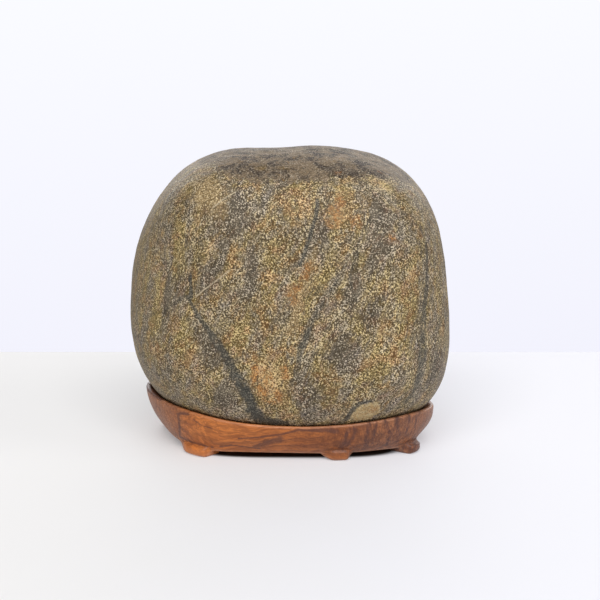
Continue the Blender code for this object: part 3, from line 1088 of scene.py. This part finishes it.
# Colours as sRGB.
FLOOR_LEFT = (225, 225, 225)
FLOOR_RIGHT = (229, 230, 236)
FLOOR_ROUGHNESS = 0.7
FLOOR_SHINE = 0.2
FLOOR_PATTERNS = {"drift": (0.05, 3.0, 0.5)}
FLOOR_RISES = {"rightward": (-0.12, 0.15), "clear": (0.7, 1.0)}

# The share of the floor's brightness that is its own, a painted glow which softens the shadows as a
# lit table does, and the painted shadow: the oval under the stand that stays dark.
FLOOR_GLOW = 0.36
FLOOR_SHARES = {"drift": 0.05, "lit": 1.0 - FLOOR_GLOW, "glow": FLOOR_GLOW}
SHADE_MIDDLE = (0.0035, -0.0005)
SHADE_HALF_WIDTH = 0.06
SHADE_HALF_DEPTH = 0.05
SHADE_SQUARENESS = 4.0
SHADE_COLOUR = (92, 80, 72)

# The backdrop's colour goes from low to high as the direction seen rises from here, by this much.
BACKDROP_LOW = (240, 240, 251)
BACKDROP_HIGH = (249, 250, 255)
BACKDROP_RISE_FROM = -0.25
BACKDROP_RISE = 0.2
BACKDROP_BRIGHTNESS = 1.02
BACKDROP_LIGHT = 0.34

# Softboxes as (place, width, height, watts).
LIGHTS = {
    "front": ((0.0, -2.2, 2.6), 3.0, 1.5, 103.0),
    "right": ((2.6, -1.0, 1.6), 1.5, 1.5, 22.0),
    "behind": ((0.0, 2.6, 0.9), 4.0, 1.2, 46.0),
}

CAMERA_TARGET = Vector((0.0051, 0.0, 0.074))
CAMERA_DISTANCE = 1.15
CAMERA_ELEVATION = 12.0
CAMERA_LENS = 128.0
SENSOR_WIDTH = 36.0


def make_floor():
    paper = new_material("floor", FLOOR_PATTERNS, FLOOR_RISES, FLOOR_SHARES)
    across = paper.add("SeparateXYZ", "X", {"Vector": paper.place})
    along = paper.add("SeparateXYZ", "Y", {"Vector": paper.place})
    drifted = paper.plus(across, paper.part("drift", paper.pattern("drift")))
    rightward = paper.shown("rightward", drifted)
    colour = paper.paint(rightward, FLOOR_LEFT, FLOOR_RIGHT)
    wide = paper.calc("DIVIDE", paper.minus(across, SHADE_MIDDLE[0]), SHADE_HALF_WIDTH)
    deep = paper.calc("DIVIDE", paper.minus(along, SHADE_MIDDLE[1]), SHADE_HALF_DEPTH)
    wide, deep = (
        paper.calc("POWER", paper.calc("ABSOLUTE", side), SHADE_SQUARENESS) for side in (wide, deep)
    )
    # Painted shadow: inside the oval under the stand the base colour goes to SHADE_COLOUR and the
    # glow is off.
    clear = paper.shown("clear", paper.plus(wide, deep))
    shaded = paper.paint(paper.part("lit", clear), SHADE_COLOUR, colour)
    inputs = paper.shader.inputs
    paper.put(inputs["Base Color"], shaded)
    # Painted glow: outside the painted shadow the floor gives off light of its own colour.
    paper.put(inputs["Emission Color"], colour)
    paper.put(inputs["Emission Strength"], paper.part("glow", clear))
    inputs["Roughness"].default_value = FLOOR_ROUGHNESS
    inputs["Specular IOR Level"].default_value = FLOOR_SHINE
    shape = bmesh.new()
    bmesh.ops.create_cube(shape, size=1.0)
    for point in shape.verts:
        point.co.x *= 2 * FLOOR_HALF_WIDTH
        point.co.y = FLOOR_BACK if point.co.y > 0 else FLOOR_FRONT
        point.co.z = 0.0 if point.co.z > 0 else -FLOOR_THICKNESS
    mesh = bpy.data.meshes.new("floor")
    shape.to_mesh(mesh)
    shape.free()
    mesh.materials.append(paper.block)
    floor = bpy.data.objects.new("floor", mesh)
    bpy.context.scene.collection.objects.link(floor)


def make_backdrop():
    """The world is the backdrop: bluish white, a little greyer low down, lighting all sides."""
    world = bpy.data.worlds.new("backdrop")
    bpy.context.scene.world = world
    sky = Nodes(world, "Background")
    seen = sky.place.node.outputs["Generated"]
    height = sky.add("SeparateXYZ", "Z", {"Vector": seen})
    colour = sky.add("ValToRGB", "Color", {"Fac": sky.minus(height, BACKDROP_RISE_FROM)})
    low, high = colour.node.color_ramp.elements
    low.position, high.position = 0.0, BACKDROP_RISE
    low.color, high.color = linear(*BACKDROP_LOW), linear(*BACKDROP_HIGH)
    on_camera = sky.add("LightPath", "Is Camera Ray")
    inputs = {"Value": on_camera, "To Min": BACKDROP_LIGHT, "To Max": BACKDROP_BRIGHTNESS}
    sky.put(sky.shader.inputs["Color"], colour)
    sky.put(sky.shader.inputs["Strength"], sky.add("MapRange", "Result", inputs))


def aim(thing, target):
    thing.rotation_euler = (target - thing.location).to_track_quat("-Z", "Y").to_euler()


def add_light(name, place, width, height, watts):
    lamp = bpy.data.lights.new(name, "AREA")
    lamp.shape = "RECTANGLE"
    lamp.size = width
    lamp.size_y = height
    lamp.energy = watts
    light = bpy.data.objects.new(name, lamp)
    bpy.context.scene.collection.objects.link(light)
    light.location = place
    light.visible_camera = False
    aim(light, CAMERA_TARGET)


def add_camera():
    lens = bpy.data.cameras.new("camera")
    lens.lens = CAMERA_LENS
    lens.sensor_width = SENSOR_WIDTH
    camera = bpy.data.objects.new("camera", lens)
    bpy.context.scene.collection.objects.link(camera)
    rise = math.radians(CAMERA_ELEVATION)
    offset = Vector((0.0, -math.cos(rise), math.sin(rise)))
    camera.location = CAMERA_TARGET + offset * CAMERA_DISTANCE
    aim(camera, CAMERA_TARGET)
    bpy.context.scene.camera = camera


add_camera()
make_floor()
make_backdrop()
for name, (place, width, height, watts) in LIGHTS.items():
    add_light(name, place, width, height, watts)
bpy.context.scene.view_settings.view_transform = "Standard"

make_rock(stone_finish())
make_stand(wood_finish())
